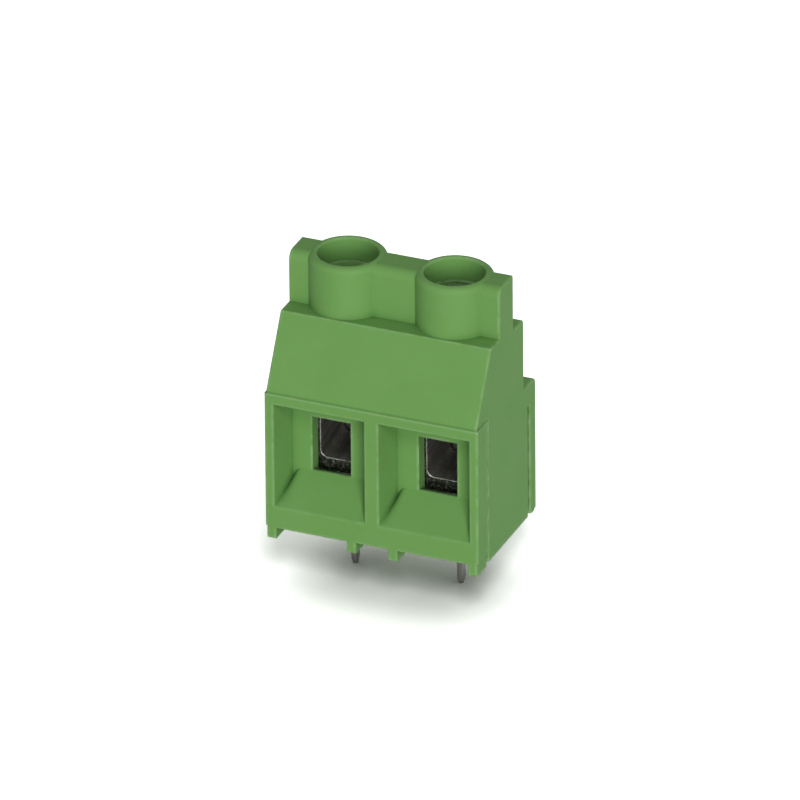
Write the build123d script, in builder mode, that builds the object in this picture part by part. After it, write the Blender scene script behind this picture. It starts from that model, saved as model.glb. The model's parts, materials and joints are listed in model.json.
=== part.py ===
# Two-pole screw terminal block for a printed circuit board, in millimetres
# Origin: on the board's surface, in the row of solder pins, midway between the poles
# +X is to the right, +Y to the rear and +Z up; depths are counted from the front face
import os

from build123d import *

os.makedirs("parts", exist_ok=True)

# Poles
pitch = 9.52
pole_places = (-pitch / 2, pitch / 2)
width = pitch * len(pole_places)

# Wire funnel and the opening behind it
funnel_depth = 2.93
funnel_taper = 0.54
funnel_bottom = 3.0
funnel_head_room = 2.05
outer_wall = 0.78
divider = 1.27
opening_width = 3.45
opening_height = 5.0
opening_bottom = 5.45
opening_wall = 1.25
crest_lip = 0.25
ramp_shoulder = 0.83

# Tension sleeve that lifts the wire against the current bar
screw_side_gap = 0.08
sleeve_side_wall = 0.9
sleeve_floor = 1.2
sleeve_top_wall = 1.8
sleeve_depth = 4.95
sleeve_inner_corner = 0.65
sleeve_outer_corner = 1.0
sleeve_top_corner = 0.4
sleeve_edge_chamfer = 0.1
sleeve_play = 0.15
sleeve_sill = 0.65
closing_gap = 0.3

# Current bar bent down to a solder pin
strip_thickness = 0.8
bar_play = 0.15
bar_head_room = 0.7
bar_front_gap = 0.12
leg_width = 4.2
leg_gap = 0.25
slot_play = 0.02
run_gap = 0.3
pin_jog = 2.1
pin_width = 0.5
pin_length = 5.3
pin_taper = 0.9
pin_tip_width = 0.25
pin_shoulder_height = 2.3

# Clamping screw with a slotted cheese head
thread_radius = 1.47
thread_play = 0.04
tip_chamfer = 0.35
tip_gap = 0.05
head_radius = 2.3
head_height = 2.0
head_play = 0.2
head_top_gap = 0.1
head_chamfer = 0.25
driver_slot_width = 0.8
driver_slot_depth = 1.1
screw_lifts = (0.0, 0.6)
driver_slot_turns = (24, -38)

# Screw collars
guide_radius = 2.56
guide_depth = 2.1
pocket_clearance = 0.1
shank_clearance = 0.2
collar_radius = 3.3
collar_stand = 0.07
collar_rounding = 0.55
rim_edge = 0.12

# Housing walls around the works
frame_band = 0.99
cavity_head_room = 0.35
seat_thickness = 1.12
shelf_roof = 1.46
rear_roof = 0.82
rear_wall = 0.93
block_wall = 2.59
block_roof = 1.16
slope_top_depth = 3.33
ridge_front_depth = 5.15
ridge_thickness = 3.0
ridge_front_rounding = 0.8
ridge_back_rounding = 0.25
block_rounding = 0.5
brow_rounding = 0.3
edge_rounding = 0.12

# Front posts, feet and underside
post_proud = 0.12
post_depth = 2.1
post_base = 1.15
skirt_height = 0.98
base_height = 0.15
foot_width = 0.82
foot_depth = 2.1
inner_foot_place = 1.86
rear_foot_depth = 1.3
rear_foot_chamfer = 0.4

# Alignment grooves on the right side and tongues on the left side
groove_width = 0.5
groove_depth = 0.7
groove_lean = 0.2
groove_head = 2.08
tongue_clearance = 0.1
tongue_reach = 0.65
tongue_end_gap = 0.4

# Depths from the front face
cavity_front = funnel_depth + opening_wall
sleeve_front = cavity_front + sleeve_play
axis_depth = sleeve_front + sleeve_depth / 2
sleeve_back = sleeve_front + sleeve_depth
cavity_back = sleeve_back + sleeve_play
leg_front = sleeve_back + leg_gap
leg_middle = leg_front + strip_thickness / 2
leg_back = leg_front + strip_thickness
pin_depth = leg_middle - pin_jog
rear_depth = cavity_back + rear_wall
block_depth = leg_back + block_wall
ridge_back_depth = ridge_front_depth + ridge_thickness
rear_groove_depth = block_depth - rear_foot_depth - groove_width

# Heights above the board
bar_bottom = opening_bottom + opening_height
bar_top = bar_bottom + strip_thickness
funnel_top = bar_bottom + funnel_head_room
face_height = funnel_top + frame_band
block_height = bar_top + block_roof
rear_groove_top = block_height - groove_head
sleeve_floor_top = opening_bottom + sleeve_sill
sleeve_bottom = sleeve_floor_top - sleeve_floor
sleeve_inner_top = bar_top + bar_head_room
sleeve_top = sleeve_inner_top + sleeve_top_wall
sleeve_lift = bar_bottom - sleeve_floor_top - closing_gap
cavity_top = sleeve_top + sleeve_lift + cavity_head_room
run_top = sleeve_bottom - run_gap
run_middle = run_top - strip_thickness / 2
seat_height = cavity_top + seat_thickness
head_underside = seat_height + head_play
pocket_top = head_underside + max(screw_lifts) + head_height + head_top_gap
rim_height = pocket_top + guide_depth
ridge_height = rim_height - collar_stand
shelf_height = cavity_top + shelf_roof
rear_step_height = cavity_top + rear_roof

# Widths
sleeve_inner_width = 2 * (thread_radius + screw_side_gap)
sleeve_width = sleeve_inner_width + 2 * sleeve_side_wall
cavity_width = sleeve_width + 2 * sleeve_play
bar_width = sleeve_inner_width - 2 * bar_play
body_half_width = width / 2 - post_proud


def y_at(depth):
    # Place along Y of a depth counted from the front face
    return depth - pin_depth


def front_plane(x, depth):
    # Upright plane facing the front: its axes are X from x, and the height above the board
    return Plane(origin=(x, y_at(depth), 0), x_dir=(1, 0, 0), z_dir=(0, -1, 0))


def block(x, depths, heights, block_width, mode=Mode.ADD):
    # Straight block centred on x between two depths and two heights
    with BuildSketch(front_plane(x, max(depths))) as face:
        with Locations((0, sum(heights) / 2)):
            Rectangle(block_width, heights[1] - heights[0])
    extrude(face.sketch, amount=max(depths) - min(depths), mode=mode)


def funnel_section(half_left, half_right, bottom, top, shoulder, shoulder_run):
    # Four-sided opening whose floor drops by the shoulder towards both side walls
    with BuildLine() as outline:
        crest_left = (-half_left + shoulder_run, bottom)
        crest_right = (half_right - shoulder_run, bottom)
        Line((half_right, bottom - shoulder), (half_right, top))
        Line((half_right, top), (-half_left, top))
        Line((-half_left, top), (-half_left, bottom - shoulder))
        Spline(
            (-half_left, bottom - shoulder),
            crest_left,
            tangents=((1, 2 * shoulder / shoulder_run), (1, 0)),
        )
        Line(crest_left, crest_right)
        Spline(
            crest_right,
            (half_right, bottom - shoulder),
            tangents=((1, 0), (1, -2 * shoulder / shoulder_run)),
        )
    make_face(outline.edges())


def funnel(side):
    # Wire funnel of one pole, side -1 on the left and +1 on the right, as a tapering void
    x = side * pitch / 2
    outer = pitch / 2 - outer_wall
    inner = pitch / 2 - divider / 2
    left, right = (outer, inner) if side < 0 else (inner, outer)
    shoulder_run = (left + right - opening_width) / 4
    with BuildPart() as void:
        with BuildSketch(front_plane(x, 0)):
            funnel_section(left, right, funnel_bottom, funnel_top, 0, shoulder_run)
        with BuildSketch(front_plane(x, funnel_depth)):
            funnel_section(
                left - funnel_taper,
                right - funnel_taper,
                opening_bottom,
                funnel_top - funnel_taper,
                ramp_shoulder,
                shoulder_run - funnel_taper / 2,
            )
        loft()
    return void.part


def collar(x):
    # Round tower over one screw, with a soft outer rim
    with BuildPart() as tower:
        with BuildSketch(Plane.XY.offset(cavity_top)):
            with Locations((x, y_at(axis_depth))):
                Circle(collar_radius)
        extrude(amount=rim_height - cavity_top)
        fillet(tower.edges().sort_by(Axis.Z)[-1], collar_rounding)
    return tower.part


def edges_at_side(part, half_width):
    # Edges that lie in one of the two upright planes at that distance from the middle
    return part.edges().filter_by(
        lambda edge: edge.bounding_box().size.X < 1e-3
        and abs(abs(edge.center().X) - half_width) < 1e-3
    )


def side_slot(side, depth, lean, slot_width, reach, heights, mode):
    # Leaning rail on one side of the body: a groove cut inwards, or a tongue grown outwards
    root = side * body_half_width
    outwards = side if mode == Mode.ADD else -side
    root_inset = outwards * post_proud
    middle = y_at(depth)
    with BuildSketch(Plane.XY.offset(heights[0])) as section:
        with BuildLine():
            Polyline(
                (root - root_inset, middle - slot_width / 2),
                (root - root_inset, middle + slot_width / 2),
                (root, middle + slot_width / 2),
                (root + outwards * reach, middle + slot_width / 2 + lean),
                (root + outwards * reach, middle - slot_width / 2 + lean),
                (root, middle - slot_width / 2),
                close=True,
            )
        make_face()
    extrude(section.sketch, amount=heights[1] - heights[0], mode=mode)


# Housing
with BuildPart() as housing:
    # Side outline: front wall, slanted face, shelf, ridge, rear steps
    with BuildSketch(Plane.YZ) as outline:
        with BuildLine():
            Polyline(
                (y_at(0), skirt_height),
                (y_at(0), face_height),
                (y_at(slope_top_depth), shelf_height),
                (y_at(ridge_front_depth), shelf_height),
                (y_at(ridge_front_depth), ridge_height),
                (y_at(ridge_back_depth), ridge_height),
                (y_at(ridge_back_depth), rear_step_height),
                (y_at(rear_depth), rear_step_height),
                (y_at(rear_depth), block_height),
                (y_at(block_depth), block_height),
                (y_at(block_depth), base_height),
                (y_at(foot_depth), base_height),
                (y_at(foot_depth), skirt_height),
                close=True,
            )
        make_face()
        for depth, height, rounding in (
            (ridge_front_depth, ridge_height, ridge_front_rounding),
            (ridge_back_depth, ridge_height, ridge_back_rounding),
            (rear_depth, rear_step_height, ridge_back_rounding),
            (block_depth, block_height, block_rounding),
            (0, face_height, brow_rounding),
        ):
            fillet(outline.vertices().sort_by_distance((y_at(depth), height))[0], rounding)
    extrude(amount=body_half_width, both=True)

    # Front posts stand proud of the sides
    block(0, (0, post_depth), (post_base, face_height), width)

    # Screw collars
    for x in pole_places:
        add(collar(x))

    # Feet under the front wall, and under the rear corners beside the grooves
    outer_foot_place = body_half_width - foot_width / 2
    for x in (-outer_foot_place, -inner_foot_place, inner_foot_place, outer_foot_place):
        block(x, (0, foot_depth), (0, face_height / 4), foot_width)
    for x in (-outer_foot_place, outer_foot_place):
        with BuildSketch(Plane.YZ.offset(x)) as rear_foot:
            with BuildLine():
                Polyline(
                    (y_at(block_depth), funnel_bottom),
                    (y_at(block_depth), rear_foot_chamfer),
                    (y_at(block_depth - rear_foot_chamfer), 0),
                    (y_at(block_depth - rear_foot_depth + rear_foot_chamfer), 0),
                    (y_at(block_depth - rear_foot_depth), rear_foot_chamfer),
                    (y_at(block_depth - rear_foot_depth), funnel_bottom),
                    close=True,
                )
            make_face()
        extrude(amount=foot_width / 2, both=True)

    # Wire funnels and the openings into the sleeve chambers, cut away below behind a thin crest
    for side, x in zip((-1, 1), pole_places):
        add(funnel(side), mode=Mode.SUBTRACT)
        block(
            x,
            (funnel_depth, cavity_front),
            (opening_bottom, opening_bottom + opening_height),
            opening_width,
            Mode.SUBTRACT,
        )
        block(
            x,
            (funnel_depth + crest_lip, cavity_front),
            (sleeve_bottom, opening_bottom),
            opening_width,
            Mode.SUBTRACT,
        )

    # Sleeve chambers, open below, with a slot for the leg of the current bar
    for x in pole_places:
        block(x, (cavity_front, cavity_back), (0, cavity_top), cavity_width, Mode.SUBTRACT)
        block(
            x,
            (cavity_back, leg_back + slot_play),
            (0, bar_top + slot_play),
            leg_width + 2 * slot_play,
            Mode.SUBTRACT,
        )

    # Screw bores: driver guide, head pocket and shank hole
    for x in pole_places:
        with Locations((x, y_at(axis_depth), rim_height)):
            Hole(guide_radius, guide_depth)
        with Locations((x, y_at(axis_depth), pocket_top)):
            Hole(head_radius + pocket_clearance, pocket_top - seat_height)
        with Locations((x, y_at(axis_depth), seat_height)):
            Hole(thread_radius + shank_clearance, seat_thickness)

    # Alignment grooves on the right, tongues on the left
    front_groove_middle = post_depth + groove_width / 2
    rear_groove_middle = rear_groove_depth + groove_width / 2
    tongue_width = groove_width - 2 * tongue_clearance
    tongue_lean = groove_lean * (tongue_reach - post_proud) / groove_depth
    for middle, lean, top in (
        (front_groove_middle, -1, face_height),
        (rear_groove_middle, 1, rear_groove_top),
    ):
        side_slot(1, middle, lean * groove_lean, groove_width, groove_depth, (0, top), Mode.SUBTRACT)
        tongue_heights = (base_height + tongue_end_gap, top - tongue_end_gap)
        side_slot(
            -1, middle, lean * tongue_lean, tongue_width, tongue_reach, tongue_heights, Mode.ADD
        )

    # Soft moulded edges: driver guides, funnel mouths, ends of the upper body, front posts and feet
    guide_rims = housing.edges().filter_by(GeomType.CIRCLE).group_by(Axis.Z)[-1]
    chamfer(guide_rims.sort_by(SortBy.RADIUS)[: len(pole_places)], rim_edge)
    front_face = housing.faces().filter_by(Axis.Y).sort_by(Axis.Y)[0]
    mouth_edges = [edge for wire in front_face.inner_wires() for edge in wire.edges()]
    end_edges = [
        edge
        for edge in edges_at_side(housing, body_half_width)
        if edge.center().Z > face_height + post_proud or edge.center().Y > y_at(rear_groove_depth)
    ]
    fillet(mouth_edges + end_edges, edge_rounding)
    fillet(edges_at_side(housing, width / 2).filter_by(Axis.Z).group_by(Axis.Y)[0], edge_rounding)
    front_edges = housing.edges().group_by(Axis.Y)[0]
    fillet(front_edges.filter_by(lambda edge: edge.center().Z < skirt_height + slot_play), edge_rounding)
housing.part.label = "housing"
export_step(housing.part, "parts/housing.step")


def tension_sleeve(x):
    # Bent rectangular sleeve round wire, bar and screw, with the tapped wall on top
    with BuildPart() as sleeve:
        with BuildSketch(front_plane(x, sleeve_back)) as ring:
            with Locations((0, (sleeve_bottom + sleeve_top) / 2)):
                Rectangle(sleeve_width, sleeve_top - sleeve_bottom)
            fillet(ring.vertices().group_by(Axis.Y)[0], sleeve_outer_corner)
            fillet(ring.vertices().group_by(Axis.Y)[-1], sleeve_top_corner)
            with BuildSketch(mode=Mode.SUBTRACT) as window:
                with Locations((0, (sleeve_floor_top + sleeve_inner_top) / 2)):
                    Rectangle(sleeve_inner_width, sleeve_inner_top - sleeve_floor_top)
                fillet(window.vertices().group_by(Axis.Y)[0], sleeve_inner_corner)
        extrude(amount=sleeve_depth)
        for face in (sleeve.faces().sort_by(Axis.Y)[0], sleeve.faces().sort_by(Axis.Y)[-1]):
            chamfer(face.inner_wires()[0].edges(), sleeve_edge_chamfer)
        with Locations((x, y_at(axis_depth), sleeve_top)):
            Hole(thread_radius + thread_play, sleeve_top_wall)
    return sleeve.part


def clamping_screw(x, lift, turn):
    # Slotted cheese head screw whose tip bears on the current bar
    tip = bar_top + tip_gap + lift
    underside = head_underside + lift
    top = underside + head_height
    axis = Plane(origin=(x, y_at(axis_depth), 0), x_dir=(1, 0, 0), z_dir=(0, -1, 0))
    with BuildPart() as screw:
        with BuildSketch(axis):
            with BuildLine():
                Polyline(
                    (0, tip),
                    (thread_radius - tip_chamfer, tip),
                    (thread_radius, tip + tip_chamfer),
                    (thread_radius, underside),
                    (head_radius, underside),
                    (head_radius, top - head_chamfer),
                    (head_radius - head_chamfer, top),
                    (0, top),
                    close=True,
                )
            make_face()
        revolve(axis=Axis((x, y_at(axis_depth), 0), (0, 0, 1)))
        with BuildSketch(Plane.XY.offset(top)):
            with Locations(Location((x, y_at(axis_depth)), turn)):
                Rectangle(3 * head_radius, driver_slot_width)
        extrude(amount=-driver_slot_depth, mode=Mode.SUBTRACT)
    return screw.part


def current_bar(x):
    # Strip that runs through the sleeve, down behind it, forward below it and into the solder pin
    bend = min(strip_thickness, 0.45 * pin_jog)
    with BuildPart() as contact:
        with BuildSketch(Plane.YZ.offset(x)):
            with BuildLine():
                FilletPolyline(
                    (y_at(cavity_front + bar_front_gap), bar_bottom + strip_thickness / 2),
                    (y_at(leg_middle), bar_bottom + strip_thickness / 2),
                    (y_at(leg_middle), run_middle),
                    (y_at(pin_depth), run_middle),
                    (y_at(pin_depth), pin_shoulder_height),
                    radius=bend,
                )
            trace(line_width=strip_thickness)
        extrude(amount=bar_width / 2, both=True)
        leg_heights = (run_middle + bend, bar_bottom - bend)
        block(x, (leg_front, leg_back), leg_heights, leg_width)
        pin_faces = (pin_depth - strip_thickness / 2, pin_depth + strip_thickness / 2)
        block(x, pin_faces, (pin_taper - pin_length, pin_shoulder_height), pin_width)
        with BuildSketch(Plane.XY.offset(pin_taper - pin_length)):
            with Locations((x, y_at(pin_depth))):
                Rectangle(pin_width, strip_thickness)
        with BuildSketch(Plane.XY.offset(-pin_length)):
            with Locations((x, y_at(pin_depth))):
                Rectangle(pin_tip_width, strip_thickness / 2)
        loft()
    return contact.part


# The works of each pole
for number, x in enumerate(pole_places):
    pieces = {
        "sleeve": tension_sleeve(x),
        "screw": clamping_screw(x, screw_lifts[number], driver_slot_turns[number]),
        "contact": current_bar(x),
    }
    for name, piece in pieces.items():
        piece.label = f"{name}_{number + 1}"
        export_step(piece, f"parts/{piece.label}.step")
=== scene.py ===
# Two-pole screw terminal block: fine shapes, finishes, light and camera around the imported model
import json
from math import cos, floor, pi, radians, sin

import bmesh
import bpy
from mathutils import Matrix, Vector

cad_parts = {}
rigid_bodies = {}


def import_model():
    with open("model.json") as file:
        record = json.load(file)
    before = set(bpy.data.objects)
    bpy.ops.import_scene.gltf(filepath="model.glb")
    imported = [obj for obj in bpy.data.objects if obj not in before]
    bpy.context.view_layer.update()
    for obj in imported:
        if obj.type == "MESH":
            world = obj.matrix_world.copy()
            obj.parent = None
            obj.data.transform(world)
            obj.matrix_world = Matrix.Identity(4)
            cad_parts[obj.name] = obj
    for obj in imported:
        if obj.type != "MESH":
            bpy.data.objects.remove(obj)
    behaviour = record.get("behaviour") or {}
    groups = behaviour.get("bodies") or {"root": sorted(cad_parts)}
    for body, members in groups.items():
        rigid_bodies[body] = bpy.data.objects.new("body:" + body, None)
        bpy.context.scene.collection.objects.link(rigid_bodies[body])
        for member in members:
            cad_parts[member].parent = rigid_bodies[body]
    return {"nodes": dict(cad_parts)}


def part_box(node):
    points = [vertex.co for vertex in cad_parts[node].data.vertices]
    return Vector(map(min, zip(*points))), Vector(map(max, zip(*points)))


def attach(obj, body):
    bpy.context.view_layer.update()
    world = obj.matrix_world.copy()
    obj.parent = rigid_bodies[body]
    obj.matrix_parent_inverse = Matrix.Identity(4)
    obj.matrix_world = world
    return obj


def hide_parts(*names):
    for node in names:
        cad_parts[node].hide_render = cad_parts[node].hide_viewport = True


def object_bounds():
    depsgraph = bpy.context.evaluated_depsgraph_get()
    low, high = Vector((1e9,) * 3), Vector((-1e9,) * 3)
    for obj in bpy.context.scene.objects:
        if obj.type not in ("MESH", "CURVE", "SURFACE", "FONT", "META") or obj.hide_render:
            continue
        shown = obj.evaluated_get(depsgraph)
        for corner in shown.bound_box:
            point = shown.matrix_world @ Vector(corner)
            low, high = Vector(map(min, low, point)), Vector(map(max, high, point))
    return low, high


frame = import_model()
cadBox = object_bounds()
mm = 0.001
mergeGap = 0.0005 * mm      # corners closer than this are one corner

print("stage 1: camera and light")

view = {
    "azimuth": 22.78,      # degrees to the right of the front
    "elevation": 27.74,
    "roll": 0.443,
    "distance": 1.5,
    "sensor": 36.0,
    "frameWidth": 66.1 * mm,      # what the picture is wide at the target
    "target": Vector((0, -1.33, 12.5)) * mm,
    "targetPixel": (400.93, 389.33),
    "pixels": 800,
    "clip": (0.01, 20.0),
}


def directionFrom(azimuth, elevation):
    # unit vector from the object towards that azimuth and elevation
    a, e = radians(azimuth), radians(elevation)
    return Vector((sin(a) * cos(e), -cos(a) * cos(e), sin(e)))


def makeCamera(v):
    back = directionFrom(v["azimuth"], v["elevation"])
    right = Vector((cos(radians(v["azimuth"])), sin(radians(v["azimuth"])), 0))
    up = back.cross(right)
    turn = Matrix.Rotation(radians(v["roll"]), 3, back)
    right, up = turn.inverted() @ right, turn.inverted() @ up
    pixel = v["frameWidth"] / v["pixels"]
    offRight = (v["targetPixel"][0] - v["pixels"] / 2) * pixel
    offUp = (v["pixels"] / 2 - v["targetPixel"][1]) * pixel
    aim = v["target"] - right * offRight - up * offUp
    data = bpy.data.cameras.new("photoCamera")
    data.sensor_width = v["sensor"]
    data.lens = v["sensor"] * v["distance"] / v["frameWidth"]
    data.clip_start, data.clip_end = v["clip"]
    camera = bpy.data.objects.new("photoCamera", data)
    turned = Matrix((right, up, back)).transposed().to_4x4()
    camera.matrix_world = Matrix.Translation(aim + back * v["distance"]) @ turned
    bpy.context.scene.collection.objects.link(camera)
    bpy.context.scene.camera = camera


makeCamera(view)

studio = {
    "floorSize": 3.0,
    "floorDrop": 0.01 * mm,       # how far under the pins it lies
    "floorColour": 0.9,
    "floorSeen": 3.5,             # for the eye alone, so that the floor is white where no shadow falls
    "floorReach": 9.5 * mm,       # how near something has to be for the painted shadow under it
    "floorOpen": (0.3, 0.88),     # openness at which the painted shadow is deepest, and where it ends
    "floorShadow": 0.16,
    "floorGlow": 0.02,
    "offTheFloor": "lowLamp",     # it lights the object alone, so that the floor shadow stays deep
    "ambient": 0.24,
    "lamps": [
        # name, azimuth, elevation, distance, size, watts
        ("highLamp", 26, 42, 2.4, 0.7, 15),
        ("lowLamp", 29, 13, 2.4, 0.9, 37),
    ],
}


def nodeTree(material):
    material.use_nodes = True
    tree = material.node_tree
    tree.nodes.clear()
    return tree


def addNode(tree, kind, values=None, **settings):
    node = tree.nodes.new(kind)
    for name, value in settings.items():
        setattr(node, name, value)
    for name, value in (values or {}).items():
        node.inputs[name].default_value = value
    return node


def lookRays(tree):
    # 1 for what the eye sees straight on, in a mirror or through glass, else 0
    path = addNode(tree, "ShaderNodeLightPath")
    first = addNode(tree, "ShaderNodeMath", operation="MAXIMUM")
    both = addNode(tree, "ShaderNodeMath", operation="MAXIMUM")
    tree.links.new(path.outputs["Is Camera Ray"], first.inputs[0])
    tree.links.new(path.outputs["Is Glossy Ray"], first.inputs[1])
    tree.links.new(first.outputs[0], both.inputs[0])
    tree.links.new(path.outputs["Is Transmission Ray"], both.inputs[1])
    return both.outputs[0]


def makeWorld(s):
    world = bpy.data.worlds.new("paleStudio")
    tree = nodeTree(world)
    strength = addNode(tree, "ShaderNodeMapRange", {"To Min": s["ambient"], "To Max": 1.0})
    background = addNode(tree, "ShaderNodeBackground", {"Color": (1, 1, 1, 1)})
    out = addNode(tree, "ShaderNodeOutputWorld")
    tree.links.new(lookRays(tree), strength.inputs["Value"])
    tree.links.new(strength.outputs[0], background.inputs["Strength"])
    tree.links.new(background.outputs[0], out.inputs["Surface"])
    bpy.context.scene.world = world


def makeFloor(s, height):
    bm = bmesh.new()
    bmesh.ops.create_grid(bm, x_segments=1, y_segments=1, size=s["floorSize"] / 2)
    bmesh.ops.translate(bm, vec=(0, 0, height), verts=bm.verts)
    mesh = bpy.data.meshes.new("floor")
    bm.to_mesh(mesh)
    bm.free()
    floorPiece = bpy.data.objects.new("floor", mesh)
    bpy.context.scene.collection.objects.link(floorPiece)
    material = bpy.data.materials.new("paleFloor")
    tree = nodeTree(material)
    looked = lookRays(tree)
    shade = addNode(tree, "ShaderNodeMapRange", {"To Min": s["floorColour"], "To Max": s["floorSeen"]})
    # painted shadow: the floor's colour darkens where the object is near above it
    near = addNode(tree, "ShaderNodeAmbientOcclusion", {"Distance": s["floorReach"]}, samples=8)
    depth = addNode(tree, "ShaderNodeMapRange", {
        "From Min": s["floorOpen"][0], "From Max": s["floorOpen"][1], "To Min": s["floorShadow"], "To Max": 1.0,
    })
    shaded = addNode(tree, "ShaderNodeMath", operation="MULTIPLY")
    diffuse = addNode(tree, "ShaderNodeBsdfDiffuse")
    glow = addNode(tree, "ShaderNodeEmission", {"Color": (1, 1, 1, 1)})
    glowStrength = addNode(tree, "ShaderNodeMath", operation="MULTIPLY")
    glowStrength.inputs[1].default_value = s["floorGlow"]
    both = addNode(tree, "ShaderNodeAddShader")
    out = addNode(tree, "ShaderNodeOutputMaterial")
    tree.links.new(looked, shade.inputs["Value"])
    tree.links.new(near.outputs["AO"], depth.inputs["Value"])
    tree.links.new(shade.outputs[0], shaded.inputs[0])
    tree.links.new(depth.outputs[0], shaded.inputs[1])
    tree.links.new(shaded.outputs[0], diffuse.inputs["Color"])
    tree.links.new(looked, glowStrength.inputs[0])
    tree.links.new(glowStrength.outputs[0], glow.inputs["Strength"])
    tree.links.new(diffuse.outputs[0], both.inputs[0])
    tree.links.new(glow.outputs[0], both.inputs[1])
    tree.links.new(both.outputs[0], out.inputs["Surface"])
    mesh.materials.append(material)
    return floorPiece


def makeLamp(name, azimuth, elevation, distance, size, watts, middle):
    data = bpy.data.lights.new(name, "AREA")
    data.shape = "DISK"
    data.size = size
    data.energy = watts
    lamp = bpy.data.objects.new(name, data)
    towards = directionFrom(azimuth, elevation)
    lamp.location = middle + towards * distance
    lamp.rotation_euler = towards.to_track_quat("Z", "Y").to_euler()
    bpy.context.scene.collection.objects.link(lamp)


def keepOff(lamp, piece):
    # the lamp lights everything but the piece
    unlit = bpy.data.collections.new(f"notLitBy_{lamp.name}")
    unlit.objects.link(piece)
    unlit.collection_objects[0].light_linking.link_state = "EXCLUDE"
    lamp.light_linking.receiver_collection = unlit


makeWorld(studio)
floorPiece = makeFloor(studio, cadBox[0].z - studio["floorDrop"])
for lampValues in studio["lamps"]:
    makeLamp(*lampValues, middle=view["target"])
keepOff(bpy.data.objects[studio["offTheFloor"]], floorPiece)
bpy.context.scene.view_settings.view_transform = "Standard"

print("stage 2: shared effects")


def newGroup(name, inputs, outputs):
    tree = bpy.data.node_groups.new(name, "ShaderNodeTree")
    for label, kind, value in inputs:
        socket = tree.interface.new_socket(label, in_out="INPUT", socket_type="NodeSocket" + kind)
        if value is not None:
            socket.default_value = value
    for label, kind in outputs:
        tree.interface.new_socket(label, in_out="OUTPUT", socket_type="NodeSocket" + kind)
    return tree, tree.nodes.new("NodeGroupInput"), tree.nodes.new("NodeGroupOutput")


def moulding():
    # broad cloudy shade of a moulding, and its fine eroded grain
    tree, given, result = newGroup(
        "moulding",
        [("Place", "Vector", None), ("Cloud Scale", "Float", 260.0), ("Grain Scale", "Float", 7000.0)],
        [("Cloud", "Float"), ("Grain", "Float")],
    )
    cloud = addNode(tree, "ShaderNodeTexNoise", {"Detail": 4.0, "Roughness": 0.6, "Distortion": 0.4})
    spread = addNode(tree, "ShaderNodeMapRange", {"From Min": 0.3, "From Max": 0.7})
    grain = addNode(tree, "ShaderNodeTexNoise", {"Detail": 3.0, "Roughness": 0.55})
    tree.links.new(given.outputs["Place"], cloud.inputs["Vector"])
    tree.links.new(given.outputs["Cloud Scale"], cloud.inputs["Scale"])
    tree.links.new(given.outputs["Place"], grain.inputs["Vector"])
    tree.links.new(given.outputs["Grain Scale"], grain.inputs["Scale"])
    tree.links.new(cloud.outputs["Fac"], spread.inputs["Value"])
    tree.links.new(spread.outputs[0], result.inputs["Cloud"])
    tree.links.new(grain.outputs["Fac"], result.inputs["Grain"])
    return tree


def paintedEdgeLight():
    # how far a point lies on an outer edge, broken up by a fine noise: the mask of a painted highlight
    tree, given, result = newGroup(
        "paintedEdgeLight",
        [("Place", "Vector", None), ("Reach", "Float", 0.1 * mm), ("Break Scale", "Float", 2500.0)],
        [("Mask", "Float")],
    )
    thin = addNode(tree, "ShaderNodeAmbientOcclusion", inside=True, samples=6)
    edge = addNode(tree, "ShaderNodeMapRange", {"From Min": 0.92, "From Max": 0.55})
    patches = addNode(tree, "ShaderNodeTexNoise", {"Detail": 3.0, "Roughness": 0.6})
    patchy = addNode(tree, "ShaderNodeMapRange", {"From Min": 0.32, "From Max": 0.58})
    mask = addNode(tree, "ShaderNodeMath", operation="MULTIPLY")
    tree.links.new(given.outputs["Reach"], thin.inputs["Distance"])
    tree.links.new(thin.outputs["AO"], edge.inputs["Value"])
    tree.links.new(given.outputs["Place"], patches.inputs["Vector"])
    tree.links.new(given.outputs["Break Scale"], patches.inputs["Scale"])
    tree.links.new(patches.outputs["Fac"], patchy.inputs["Value"])
    tree.links.new(edge.outputs[0], mask.inputs[0])
    tree.links.new(patchy.outputs[0], mask.inputs[1])
    tree.links.new(mask.outputs[0], result.inputs["Mask"])
    return tree


def drawLines():
    # lines that rolling and bending leave in sheet metal, along the Y axis of the turned place
    tree, given, result = newGroup(
        "drawLines",
        [("Place", "Vector", None), ("Turn", "Vector", (0, 0, 0)), ("Line Scale", "Float", 2600.0)],
        [("Lines", "Float")],
    )
    turned = addNode(tree, "ShaderNodeVectorRotate", rotation_type="EULER_XYZ")
    stretched = addNode(tree, "ShaderNodeVectorMath", {1: (1.0, 0.045, 1.0)}, operation="MULTIPLY")
    lines = addNode(tree, "ShaderNodeTexNoise", {"Detail": 5.0, "Roughness": 0.65})
    tree.links.new(given.outputs["Place"], turned.inputs["Vector"])
    tree.links.new(given.outputs["Turn"], turned.inputs["Rotation"])
    tree.links.new(turned.outputs[0], stretched.inputs[0])
    tree.links.new(stretched.outputs[0], lines.inputs["Vector"])
    tree.links.new(given.outputs["Line Scale"], lines.inputs["Scale"])
    tree.links.new(lines.outputs["Fac"], result.inputs["Lines"])
    return tree


def shadedCorner():
    # how far a point lies in an inner corner
    tree, given, result = newGroup(
        "shadedCorner",
        [("Reach", "Float", 1.0 * mm), ("Open", "Float", 0.46), ("Shut", "Float", 0.12)],
        [("Mask", "Float")],
    )
    corner = addNode(tree, "ShaderNodeAmbientOcclusion", samples=6)
    deep = addNode(tree, "ShaderNodeMapRange")
    tree.links.new(given.outputs["Open"], deep.inputs["From Min"])
    tree.links.new(given.outputs["Shut"], deep.inputs["From Max"])
    tree.links.new(given.outputs["Reach"], corner.inputs["Distance"])
    tree.links.new(corner.outputs["AO"], deep.inputs["Value"])
    tree.links.new(deep.outputs[0], result.inputs["Mask"])
    return tree


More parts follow.
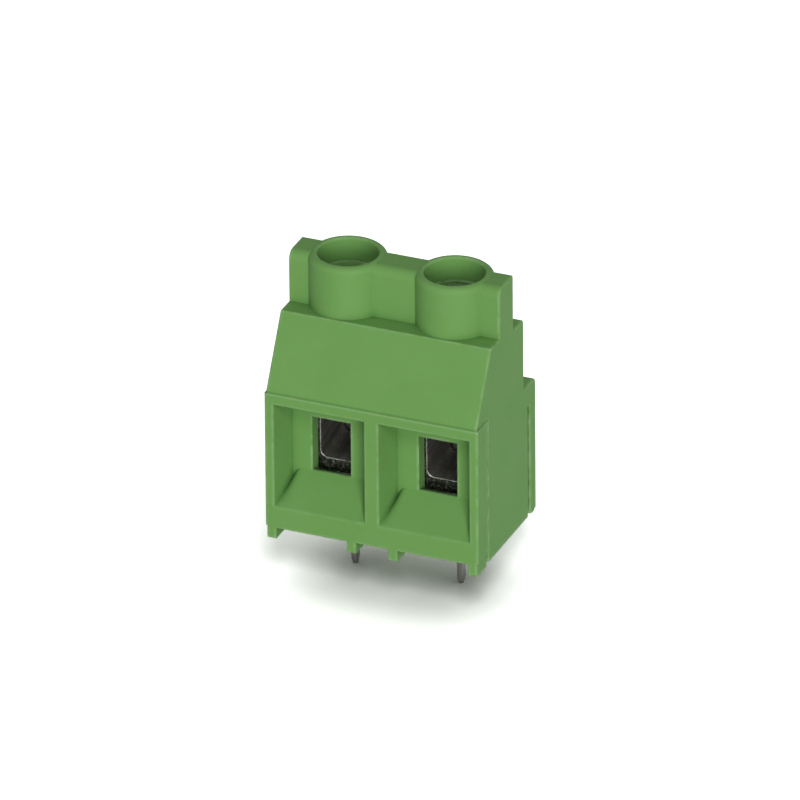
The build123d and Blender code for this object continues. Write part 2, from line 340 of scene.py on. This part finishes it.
mouldingGroup = moulding()
cornerGroup = shadedCorner()
edgeGroup = paintedEdgeLight()
linesGroup = drawLines()


def placeGroup(tree, group, place, values):
    node = addNode(tree, "ShaderNodeGroup", node_tree=group)
    if place:
        tree.links.new(place, node.inputs["Place"])
    for name, value in values.items():
        node.inputs[name].default_value = value
    return node


def mixColours(tree, factor, low, high):
    # low and high are colours, or sockets that give them
    mix = addNode(tree, "ShaderNodeMix", data_type="RGBA")
    tree.links.new(factor, mix.inputs["Factor"])
    for socket, colour in ((mix.inputs[6], low), (mix.inputs[7], high)):
        if isinstance(colour, tuple):
            socket.default_value = (*colour, 1)
        else:
            tree.links.new(colour, socket)
    return mix.outputs[2]


def spreadOver(tree, value, low, high):
    # the value's 0 to 1 carried to low to high
    node = addNode(tree, "ShaderNodeMapRange", {"To Min": low, "To Max": high})
    tree.links.new(value, node.inputs["Value"])
    return node.outputs[0]


print("stage 3: materials")

greenLook = {
    "deep": (0.130, 0.290, 0.075),
    "pale": (0.141, 0.308, 0.085),
    "corner": (0.040, 0.125, 0.022),  # painted shade in recesses, inner corners and above the seam
    "edgeHighlight": (0.30, 0.47, 0.23),      # painted highlight on outer edges and on the seam's lip
    "edgeHighlightShare": 0.8,
    "hollowShare": 0.6,
    "nookShare": 0.42,
    "lipShare": 0.3,
    "seamShare": 0.3,
    "hollow": {"Reach": 2.6 * mm, "Open": 0.46, "Shut": 0.12},      # wide recesses
    "nook": {"Reach": 0.8 * mm, "Open": 0.85, "Shut": 0.4},         # tight inner corners
    "edge": {"Reach": 0.3 * mm, "Break Scale": 900.0},
    "surface": {"Cloud Scale": 230.0, "Grain Scale": 6500.0},
    "roughness": (0.56, 0.68),
    "shine": 0.14,
    "seamHeight": 13.49 * mm,         # where the slope meets the front band
    "seamSpan": 0.35 * mm,            # looked at above and below it
    "seamFront": -7.3 * mm,
    "seamDepth": 0.10 * mm,
    "seamStops": {
        # place across the span, and value
        "groove": ((0.2, 0), (0.5, 1), (0.56, 1), (0.76, 0)),
        "lip": ((0.2, 0), (0.34, 1), (0.46, 1), (0.5, 0)),
        "shade": ((0.48, 0), (0.54, 1), (0.64, 1), (0.8, 0)),
    },
    "grainDepth": 0.0025 * mm,
    "waveScale": 420.0,
    "waveDepth": 0.006 * mm,
    "softEdge": 0.15 * mm,
}


def seamAlong(tree, place, look):
    # fine groove across the front: its height, its lower lip with a painted highlight, and its upper side with
    # painted shade
    parts = addNode(tree, "ShaderNodeSeparateXYZ")
    low, high = look["seamHeight"] - look["seamSpan"], look["seamHeight"] + look["seamSpan"]
    across = addNode(tree, "ShaderNodeMapRange", {"From Min": low, "From Max": high})
    front = addNode(tree, "ShaderNodeMath", operation="LESS_THAN")
    front.inputs[1].default_value = look["seamFront"]
    tree.links.new(place, parts.inputs[0])
    tree.links.new(parts.outputs["Z"], across.inputs["Value"])
    tree.links.new(parts.outputs["Y"], front.inputs[0])
    results = []
    for stops in look["seamStops"].values():
        ramp = addNode(tree, "ShaderNodeValToRGB")
        while len(ramp.color_ramp.elements) < len(stops):
            ramp.color_ramp.elements.new(1)
        for element, (position, value) in zip(ramp.color_ramp.elements, stops):
            element.position = position
            element.color = (value, value, value, 1)
        onFront = addNode(tree, "ShaderNodeMath", operation="MULTIPLY")
        tree.links.new(across.outputs[0], ramp.inputs["Fac"])
        tree.links.new(ramp.outputs["Color"], onFront.inputs[0])
        tree.links.new(front.outputs[0], onFront.inputs[1])
        results.append(onFront.outputs[0])
    return results


def mouldedGreen(look):
    material = bpy.data.materials.new("mouldedGreen")
    tree = nodeTree(material)
    place = addNode(tree, "ShaderNodeTexCoord").outputs["Object"]
    surface = placeGroup(tree, mouldingGroup, place, look["surface"])
    edgeLight = placeGroup(tree, edgeGroup, place, look["edge"])
    hollow = placeGroup(tree, cornerGroup, None, look["hollow"])
    nook = placeGroup(tree, cornerGroup, None, look["nook"])
    groove, lip, shade = seamAlong(tree, place, look)
    colour = mixColours(tree, surface.outputs["Cloud"], look["deep"], look["pale"])
    # painted shade from the hollow, nook and seam masks; painted highlight on the seam's lip and on outer edges
    for mask, share, tint in (
        (hollow.outputs["Mask"], look["hollowShare"], look["corner"]),
        (nook.outputs["Mask"], look["nookShare"], look["corner"]),
        (shade, look["seamShare"], look["corner"]),
        (lip, look["lipShare"], look["edgeHighlight"]),
        (edgeLight.outputs["Mask"], look["edgeHighlightShare"], look["edgeHighlight"]),
    ):
        colour = mixColours(tree, spreadOver(tree, mask, 0.0, share), colour, tint)
    roughness = spreadOver(tree, surface.outputs["Cloud"], *look["roughness"])
    waves = addNode(tree, "ShaderNodeTexNoise", {"Scale": look["waveScale"], "Detail": 2.0})
    tree.links.new(place, waves.inputs["Vector"])
    soft = addNode(tree, "ShaderNodeBevel", {"Radius": look["softEdge"]}, samples=6)
    waved = addNode(tree, "ShaderNodeBump", {"Strength": 1.0, "Distance": look["waveDepth"]})
    grained = addNode(tree, "ShaderNodeBump", {"Strength": 1.0, "Distance": look["grainDepth"]})
    seam = addNode(tree, "ShaderNodeBump", {"Strength": 1.0, "Distance": look["seamDepth"]}, invert=True)
    tree.links.new(soft.outputs["Normal"], seam.inputs["Normal"])
    tree.links.new(groove, seam.inputs["Height"])
    tree.links.new(seam.outputs["Normal"], waved.inputs["Normal"])
    tree.links.new(waves.outputs["Fac"], waved.inputs["Height"])
    tree.links.new(waved.outputs["Normal"], grained.inputs["Normal"])
    tree.links.new(surface.outputs["Grain"], grained.inputs["Height"])
    shader = addNode(tree, "ShaderNodeBsdfPrincipled", {"IOR": 1.5, "Specular IOR Level": look["shine"]})
    out = addNode(tree, "ShaderNodeOutputMaterial")
    tree.links.new(colour, shader.inputs["Base Color"])
    tree.links.new(roughness, shader.inputs["Roughness"])
    tree.links.new(grained.outputs["Normal"], shader.inputs["Normal"])
    tree.links.new(shader.outputs[0], out.inputs["Surface"])
    return material


def endFaceMask(tree, place, look):
    # 1 on the end faces at the front and back, painted nearly black as shade, and the specks on them
    geometry = addNode(tree, "ShaderNodeNewGeometry")
    parts = addNode(tree, "ShaderNodeSeparateXYZ")
    turned = addNode(tree, "ShaderNodeMath", operation="ABSOLUTE")
    share = addNode(tree, "ShaderNodeMapRange", {"From Min": 0.75, "From Max": 0.97})
    specks = addNode(tree, "ShaderNodeTexNoise", {"Scale": look["speckScale"], "Detail": 3.0, "Roughness": 0.7})
    apart = addNode(tree, "ShaderNodeMapRange", {"From Min": 0.5, "From Max": 0.68})
    tree.links.new(geometry.outputs["True Normal"], parts.inputs[0])
    tree.links.new(parts.outputs["Y"], turned.inputs[0])
    tree.links.new(turned.outputs[0], share.inputs["Value"])
    tree.links.new(place, specks.inputs["Vector"])
    tree.links.new(specks.outputs["Fac"], apart.inputs["Value"])
    return share.outputs[0], apart.outputs[0]


def workedMetal(name, look):
    # metal with draw lines, dull patches and a painted highlight on its edges
    material = bpy.data.materials.new(name)
    tree = nodeTree(material)
    place = addNode(tree, "ShaderNodeTexCoord").outputs["Object"]
    surface = placeGroup(
        tree, mouldingGroup, place, {"Cloud Scale": look["patchScale"], "Grain Scale": look["speckScale"]}
    )
    lines = placeGroup(tree, linesGroup, place, {"Turn": look["turn"], "Line Scale": look["lineScale"]})
    edgeLight = placeGroup(tree, edgeGroup, place, {"Reach": look["edgeReach"], "Break Scale": look["edgeBreak"]})
    colour = mixColours(tree, surface.outputs["Cloud"], look["dull"], look["plain"])
    lineShare = spreadOver(tree, lines.outputs["Lines"], *look["lineShare"])
    colour = mixColours(tree, lineShare, colour, look["streak"])
    # painted shade, nearly black, on the end faces, with lighter specks
    if "endFaceShade" in look:
        share, specks = endFaceMask(tree, place, look)
        colour = mixColours(tree, share, colour, mixColours(tree, specks, look["endFaceShade"], look["speck"]))
    # painted highlight: the edges turn near white and less rough
    colour = mixColours(tree, edgeLight.outputs["Mask"], colour, look["bright"])
    dullness = spreadOver(tree, lines.outputs["Lines"], *look["roughness"])
    shine = addNode(tree, "ShaderNodeMix", data_type="FLOAT")
    shine.inputs["B"].default_value = look["edgeRoughness"]
    tree.links.new(edgeLight.outputs["Mask"], shine.inputs["Factor"])
    tree.links.new(dullness, shine.inputs["A"])
    soft = addNode(tree, "ShaderNodeBevel", {"Radius": look["edgeReach"]}, samples=6)
    lined = addNode(tree, "ShaderNodeBump", {"Strength": 1.0, "Distance": look["lineDepth"]})
    specked = addNode(tree, "ShaderNodeBump", {"Strength": 1.0, "Distance": look["speckDepth"]})
    tree.links.new(soft.outputs["Normal"], lined.inputs["Normal"])
    tree.links.new(lines.outputs["Lines"], lined.inputs["Height"])
    tree.links.new(lined.outputs["Normal"], specked.inputs["Normal"])
    tree.links.new(surface.outputs["Grain"], specked.inputs["Height"])
    shader = addNode(tree, "ShaderNodeBsdfPrincipled", {"Metallic": 1.0})
    out = addNode(tree, "ShaderNodeOutputMaterial")
    tree.links.new(colour, shader.inputs["Base Color"])
    tree.links.new(shine.outputs["Result"], shader.inputs["Roughness"])
    tree.links.new(specked.outputs["Normal"], shader.inputs["Normal"])
    tree.links.new(shader.outputs[0], out.inputs["Surface"])
    return material


# bright is the painted highlight on each metal's edges
sleeveLook = {
    # the first colour here is painted shade, nearly black, on the end faces; speck is the lighter specks on them
    "endFaceShade": (0.022, 0.026, 0.018), "speck": (0.17, 0.17, 0.14),
    "dull": (0.10, 0.10, 0.088), "plain": (0.17, 0.168, 0.15), "streak": (0.5, 0.48, 0.45),
    "bright": (1.0, 0.98, 0.9), "roughness": (0.45, 0.6), "edgeRoughness": 0.3,
    "patchScale": 2600.0, "speckScale": 4200.0, "speckDepth": 0.02 * mm,
    "turn": (radians(-12), 0, 0), "lineScale": 1500.0, "lineShare": (-0.4, 1.0), "lineDepth": 0.004 * mm,
    "edgeReach": 0.09 * mm, "edgeBreak": 3500.0,
}
screwLook = {
    "dull": (0.5, 0.49, 0.46), "plain": (0.63, 0.62, 0.59), "streak": (0.7, 0.69, 0.66),
    "bright": (1.0, 0.98, 0.93), "roughness": (0.24, 0.42), "edgeRoughness": 0.3,
    "patchScale": 1200.0, "speckScale": 6000.0, "speckDepth": 0.003 * mm,
    "turn": (0, 0, radians(90)), "lineScale": 3000.0, "lineShare": (-0.4, 0.5), "lineDepth": 0.002 * mm,
    "edgeReach": 0.14 * mm, "edgeBreak": 3500.0,
}
tinLook = {
    "dull": (0.17, 0.165, 0.16), "plain": (0.27, 0.26, 0.25), "streak": (0.36, 0.35, 0.34),
    "bright": (0.55, 0.54, 0.52), "roughness": (0.4, 0.58), "edgeRoughness": 0.35,
    "patchScale": 700.0, "speckScale": 4500.0, "speckDepth": 0.004 * mm,
    "turn": (radians(90), 0, 0), "lineScale": 2400.0, "lineShare": (-0.4, 0.6), "lineDepth": 0.003 * mm,
    "edgeReach": 0.05 * mm, "edgeBreak": 3500.0,
}

green = mouldedGreen(greenLook)
sleeveMetal = workedMetal("plainSleeveSteel", sleeveLook)
screwMetal = workedMetal("platedScrewSteel", screwLook)
tinMetal = workedMetal("tinnedBrass", tinLook)

print("stage 4: mesh helpers")


def addObject(name, bm):
    mesh = bpy.data.meshes.new(name)
    bm.to_mesh(mesh)
    bm.free()
    piece = bpy.data.objects.new(name, mesh)
    bpy.context.scene.collection.objects.link(piece)
    return piece


def combine(base, tool, operation):
    # one closed mesh from two
    for bm in (base, tool):
        bmesh.ops.remove_doubles(bm, verts=bm.verts, dist=mergeGap)
        bmesh.ops.recalc_face_normals(bm, faces=bm.faces)
    basePiece, toolPiece = addObject("base", base), addObject("tool", tool)
    joint = basePiece.modifiers.new("joint", "BOOLEAN")
    joint.operation, joint.solver, joint.object = operation, "EXACT", toolPiece
    evaluated = basePiece.evaluated_get(bpy.context.evaluated_depsgraph_get())
    result = bmesh.new()
    result.from_mesh(evaluated.to_mesh())
    evaluated.to_mesh_clear()
    for piece in (basePiece, toolPiece):
        bpy.data.objects.remove(piece)
    bmesh.ops.remove_doubles(result, verts=result.verts, dist=mergeGap)
    return result


def finishPiece(bm, name, material, body, smoothAngle=35):
    bmesh.ops.remove_doubles(bm, verts=bm.verts, dist=mergeGap)
    bmesh.ops.recalc_face_normals(bm, faces=bm.faces)
    for face in bm.faces:
        face.smooth = True
    for edge in bm.edges:
        edge.smooth = len(edge.link_faces) == 2 and edge.calc_face_angle() < radians(smoothAngle)
    piece = addObject(name + "_fine", bm)
    piece.data.materials.append(material)
    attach(piece, body)
    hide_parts(name)


def bevelSharp(bm, edges, width, segments):
    bmesh.ops.bevel(
        bm, geom=edges, offset=width, offset_type="OFFSET", segments=segments, profile=0.5,
        affect="EDGES", material=-1, clamp_overlap=True,
    )


def sharpEdges(bm, angle, keep=lambda edge: True):
    return [
        edge for edge in bm.edges
        if len(edge.link_faces) == 2 and edge.calc_face_angle() > radians(angle) and keep(edge)
    ]


def boxOf(node):
    low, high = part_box(node)
    return Vector(low), Vector(high)


print("stage 5: threads and screws")

thread = {
    "pitch": 0.5 * mm,
    "depth": 0.28 * mm,
    "flat": 0.12,      # share of the pitch on each side of a root
    "crest": 0.43,     # where the crest starts in the pitch
    "segments": 24,
}


def threadedBar(t, middle, radius, low, high):
    # right-hand thread: one pitch of its profile is spun round with a rise, then cut level at both ends
    bm = bmesh.new()
    start = floor(low / t["pitch"] - 1) * t["pitch"]
    turns = floor((high - start) / t["pitch"]) + 2
    root = radius - t["depth"]
    shape = (
        (root, 0), (root, t["flat"]), (radius, t["crest"]), (radius, 1 - t["crest"]), (root, 1 - t["flat"]), (root, 1)
    )
    verts = [bm.verts.new((middle.x + r, middle.y, start + share * t["pitch"])) for r, share in shape]
    edges = [bm.edges.new(pair) for pair in zip(verts, verts[1:])]
    bmesh.ops.spin(
        bm, geom=verts + edges, cent=(middle.x, middle.y, 0), axis=(0, 0, 1), angle=2 * pi * turns,
        dvec=(0, 0, t["pitch"] / t["segments"]), steps=turns * t["segments"], use_merge=False,
    )
    bmesh.ops.remove_doubles(bm, verts=bm.verts, dist=mergeGap)
    for height, side in ((low, -1), (high, 1)):
        cut = bmesh.ops.bisect_plane(
            bm, geom=bm.verts[:] + bm.edges[:] + bm.faces[:], dist=mergeGap / 10,
            plane_co=(0, 0, height), plane_no=(0, 0, side), clear_outer=True,
        )
        rim = [item for item in cut["geom_cut"] if isinstance(item, bmesh.types.BMEdge)]
        bmesh.ops.triangle_fill(bm, use_beauty=True, edges=rim)
    return bm


def turnedSolid(middle, outline, steps):
    # outline of radius and height from the bottom of the axis to its top, spun once round
    bm = bmesh.new()
    verts = [bm.verts.new((middle.x + r, middle.y, z)) for r, z in outline]
    edges = [bm.edges.new(pair) for pair in zip(verts, verts[1:])]
    bmesh.ops.spin(
        bm, geom=verts + edges, cent=(middle.x, middle.y, 0), axis=(0, 0, 1), angle=2 * pi,
        steps=steps, use_merge=True,
    )
    bmesh.ops.remove_doubles(bm, verts=bm.verts, dist=mergeGap)
    bmesh.ops.recalc_face_normals(bm, faces=bm.faces)
    return bm


screw = {
    "radius": 1.47 * mm,
    "headHeight": 2.0 * mm,
    "headEdge": 0.25 * mm,
    "tipEdge": 0.35 * mm,
    "neck": 0.5 * mm,           # plain shank under the head
    "neckShare": 0.97,          # its radius, as a share of the thread's
    "neckCone": 0.6,            # its cone ends, and the thread starts, at these shares of its height
    "threadStart": 0.7,
    "slotWidth": 0.8 * mm,
    "slotDepth": 1.1 * mm,
    "slotTurns": (24, -38),     # degrees
    "softEdge": 0.06 * mm,
    "sharpAngle": 30,
    "steps": 72,
}


def makeScrew(s, number):
    name = f"screw_{number}"
    low, high = boxOf(name)
    middle = (low + high) / 2
    headRadius = (high.x - low.x) / 2
    underside = high.z - s["headHeight"]
    root = s["radius"] - thread["depth"]
    neckRadius, neckLow = s["radius"] * s["neckShare"], underside - s["neck"]
    head = turnedSolid(
        middle,
        [
            (0, neckLow), (root, neckLow), (neckRadius, underside - s["neck"] * s["neckCone"]),
            (neckRadius, underside), (headRadius, underside), (headRadius, high.z - s["headEdge"]),
            (headRadius - s["headEdge"], high.z), (0, high.z),
        ],
        s["steps"],
    )
    slot = bmesh.new()
    bmesh.ops.create_cube(slot, size=1)
    bmesh.ops.scale(slot, vec=(4 * headRadius, s["slotWidth"], 2 * s["slotDepth"]), verts=slot.verts)
    turn = Matrix.Rotation(radians(s["slotTurns"][number - 1]), 3, "Z")
    bmesh.ops.rotate(slot, cent=(0, 0, 0), matrix=turn, verts=slot.verts)
    bmesh.ops.translate(slot, vec=(middle.x, middle.y, high.z), verts=slot.verts)
    head = combine(head, slot, "DIFFERENCE")

    def onHead(edge):
        return min(v.co.z for v in edge.verts) > underside - mergeGap

    bevelSharp(head, sharpEdges(head, s["sharpAngle"], onHead), s["softEdge"], 2)
    shank = threadedBar(thread, middle, s["radius"], low.z, underside - s["neck"] * s["threadStart"])
    for vert in shank.verts:
        # drawn in to a cone at the tip
        allowed = s["radius"] - max(0, low.z + s["tipEdge"] - vert.co.z)
        out = Vector((vert.co.x - middle.x, vert.co.y - middle.y, 0))
        if out.length > allowed:
            vert.co -= out * (1 - allowed / out.length)
    bm = combine(head, shank, "UNION")
    finishPiece(bm, name, screwMetal, name)


for number in (1, 2):
    makeScrew(screw, number)

print("stage 6: sleeves")

sleeve = {
    "sideWall": 0.9 * mm,
    "floor": 1.2 * mm,
    "topWall": 1.8 * mm,
    "outerCorner": 1.0 * mm,
    "topCorner": 0.4 * mm,
    "innerCorner": 0.65 * mm,
    "innerTopCorner": 0.12 * mm,
    "mouthEdge": 0.03 * mm,
    "outerEdge": 0.05 * mm,
    "threadPlay": 0.04 * mm,
    "countersink": 0.2 * mm,
    "countersinkSteps": 48,
    "outerSegments": 10,
    "innerSegments": 8,
    "sharpAngle": 50,
    "windowBeyond": 1 * mm,       # how far the cutters reach out of the sleeve
    "boreBeyond": 0.5 * mm,
}


def barAlongY(low, high, cornerLow, cornerHigh, segments):
    # straight bar whose four long edges are rounded, the lower pair and the upper pair by their own radii
    bm = bmesh.new()
    bmesh.ops.create_cube(bm, size=1)
    bmesh.ops.scale(bm, vec=high - low, verts=bm.verts)
    bmesh.ops.translate(bm, vec=(low + high) / 2, verts=bm.verts)
    middle = (low.z + high.z) / 2
    for radius, below in ((cornerLow, True), (cornerHigh, False)):
        edges = [
            e for e in bm.edges
            if abs(e.verts[0].co.y - e.verts[1].co.y) > (high.y - low.y) / 2
            and (e.verts[0].co.z < middle) == below
        ]
        bevelSharp(bm, edges, radius, segments)
    return bm


def makeSleeve(s, number):
    name = f"sleeve_{number}"
    low, high = boxOf(name)
    middle = (low + high) / 2
    body = barAlongY(low, high, s["outerCorner"], s["topCorner"], s["outerSegments"])
    windowLow = Vector((low.x + s["sideWall"], low.y - s["windowBeyond"], low.z + s["floor"]))
    windowHigh = Vector((high.x - s["sideWall"], high.y + s["windowBeyond"], high.z - s["topWall"]))
    window = barAlongY(windowLow, windowHigh, s["innerCorner"], s["innerTopCorner"], s["innerSegments"])
    body = combine(body, window, "DIFFERENCE")

    def onMouth(edge):
        # edges round the window's two mouths
        ends = [v.co for v in edge.verts]
        flat = all(abs(c.y - low.y) < mergeGap or abs(c.y - high.y) < mergeGap for c in ends)
        inside = all(
            windowLow.x - mergeGap < c.x < windowHigh.x + mergeGap
            and windowLow.z - mergeGap < c.z < windowHigh.z + mergeGap for c in ends
        )
        return flat and inside

    bevelSharp(body, sharpEdges(body, s["sharpAngle"], onMouth), s["mouthEdge"], 2)
    bevelSharp(body, sharpEdges(body, s["sharpAngle"], lambda e: not onMouth(e)), s["outerEdge"], 2)
    boreRadius, beyond = screw["radius"] + s["threadPlay"], s["boreBeyond"]
    bore = threadedBar(thread, middle, boreRadius, high.z - s["topWall"] - beyond, high.z + beyond)
    body = combine(body, bore, "DIFFERENCE")
    sink = boreRadius + s["countersink"] / 2
    cone = turnedSolid(
        middle,
        [(0, high.z - sink), (sink, high.z), (sink + beyond, high.z + beyond), (0, high.z + beyond)],
        s["countersinkSteps"],
    )
    body = combine(body, cone, "DIFFERENCE")
    finishPiece(body, name, sleeveMetal, name)


for number in (1, 2):
    makeSleeve(sleeve, number)

print("stage 7: contacts and housing")

contact = {
    "flatAngle": 0.6,        # degrees, below which two facets are one face
    "sharpAngle": 50,
    "softEdge": 0.06 * mm,
    "taper": (0.9 * mm, 0.5 * mm),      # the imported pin's taper, and the one shown
    "tipWidening": 1.35,
    "foundWithin": 0.01 * mm,
}


def makeContact(c, number):
    # the bent strip with its stamped edges broken
    name = f"contact_{number}"
    bm = bmesh.new()
    bm.from_mesh(frame["nodes"][name].data)
    bmesh.ops.remove_doubles(bm, verts=bm.verts, dist=mergeGap)
    bmesh.ops.dissolve_limit(
        bm, angle_limit=radians(c["flatAngle"]), use_dissolve_boundaries=False, verts=bm.verts, edges=bm.edges
    )
    tip = boxOf(name)[0].z
    tipVerts = [v for v in bm.verts if v.co.z < tip + mergeGap]
    shoulder = [v for v in bm.verts if abs(v.co.z - tip - c["taper"][0]) < c["foundWithin"]]
    middle = sum(v.co.x for v in tipVerts) / len(tipVerts)
    bmesh.ops.scale(bm, vec=(c["tipWidening"], 1, 1), space=Matrix.Translation((-middle, 0, 0)), verts=tipVerts)
    bmesh.ops.translate(bm, vec=(0, 0, c["taper"][1] - c["taper"][0]), verts=shoulder)
    bevelSharp(bm, sharpEdges(bm, c["sharpAngle"]), c["softEdge"], 2)
    finishPiece(bm, name, tinMetal, "block")


for number in (1, 2):
    makeContact(contact, number)

housing = frame["nodes"]["housing"]
housing.data.materials.clear()
housing.data.materials.append(green)

print("stage 8: done")
